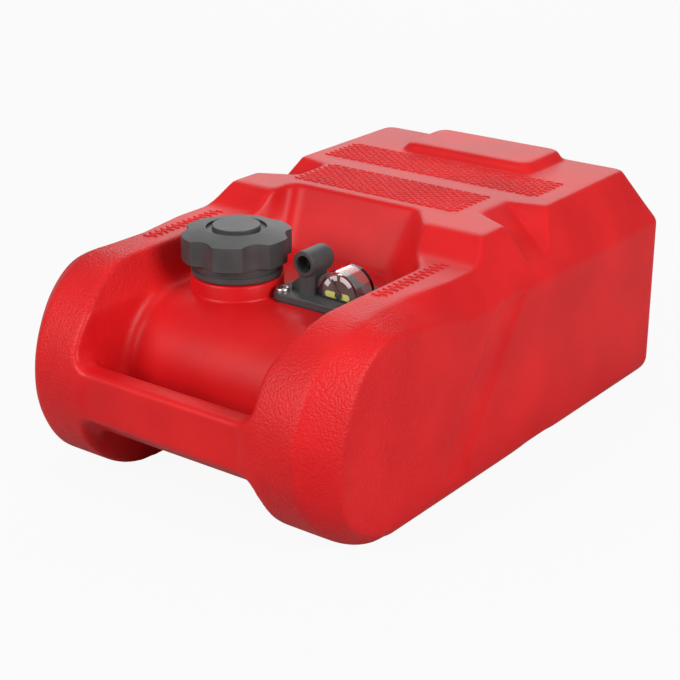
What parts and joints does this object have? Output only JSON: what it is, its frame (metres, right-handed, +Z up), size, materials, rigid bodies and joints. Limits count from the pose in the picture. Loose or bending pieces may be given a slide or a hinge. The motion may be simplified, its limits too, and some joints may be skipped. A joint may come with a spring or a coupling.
{
  "type": "outboard fuel tank",
  "caption": "Low portable boat fuel tank with a grip bar between two rounded rails, a screw cap, a fuel pickup port and a float gauge.",
  "frame": {"origin": "centre of the bounding box at floor level", "axes": "+X to the right seen from the grip, +Y from the grip to the rear, +Z up"},
  "size_m": [0.262, 0.427, 0.172],
  "materials": {
    "red_shell": "semi-gloss blow-moulded polyethylene with a fine grain",
    "black_plastic": "charcoal moulded nylon",
    "seal_rubber": "black nitrile rubber",
    "steel": "stainless steel",
    "brass": "turned brass",
    "white_plastic": "natural white nylon",
    "dial_plastic": "dark dial with a white scale and a yellow band",
    "clear_lens": "clear acrylic",
    "float_foam": "closed-cell nitrile foam"
  },
  "bodies": {
    "tank": {"tank_shell": "red_shell", "flange_gasket": "seal_rubber", "pickup_body": "black_plastic", "flange_screws": "steel", "screw_inserts": "brass", "pickup_tube": "white_plastic", "strainer": "white_plastic", "gauge_bracket": "black_plastic", "gauge_dial": "dial_plastic", "gauge_lens": "clear_lens", "lens_seal": "seal_rubber"},
    "cap_seal": {"cap_gasket": "seal_rubber"},
    "cap": {"cap_ring": "black_plastic", "cap_knob": "black_plastic", "cap_disc": "black_plastic", "vent_spring": "steel"},
    "vent": {"vent_poppet": "black_plastic", "vent_seal": "seal_rubber"},
    "gauge": {"gauge_shaft": "steel", "gauge_pointer": "black_plastic", "gauge_hub": "brass", "float_arm": "steel", "float_body": "float_foam", "float_clips": "steel"}
  },
  "joints": [
    {"name": "cap_rise", "type": "slide", "parent": "tank", "child": "cap_seal", "axis": [0, 0, 1], "range_m": [0, 0.015]},
    {"name": "cap_turn", "type": "hinge", "parent": "cap_seal", "child": "cap", "pos_m": [-0.036, -0.0902, 0.15], "axis": [0, 0, 1], "range_deg": [0, 1080]},
    {"name": "vent_lift", "type": "slide", "parent": "cap", "child": "vent", "axis": [0, 0, 1], "range_m": [0, 0.0012], "stiffness_N_per_m": 1000, "springref_m": -0.0017, "deforming": ["vent_spring"]},
    {"name": "gauge_swing", "type": "hinge", "parent": "tank", "child": "gauge", "pos_m": [0.045, -0.0735, 0.1308], "axis": [0, 1, 0], "range_deg": [0, 52.6]}
  ],
  "couplings": [
    {"joint": "cap_turn", "follows": "cap_rise", "rad_per_m": 1256.6}
  ]
}
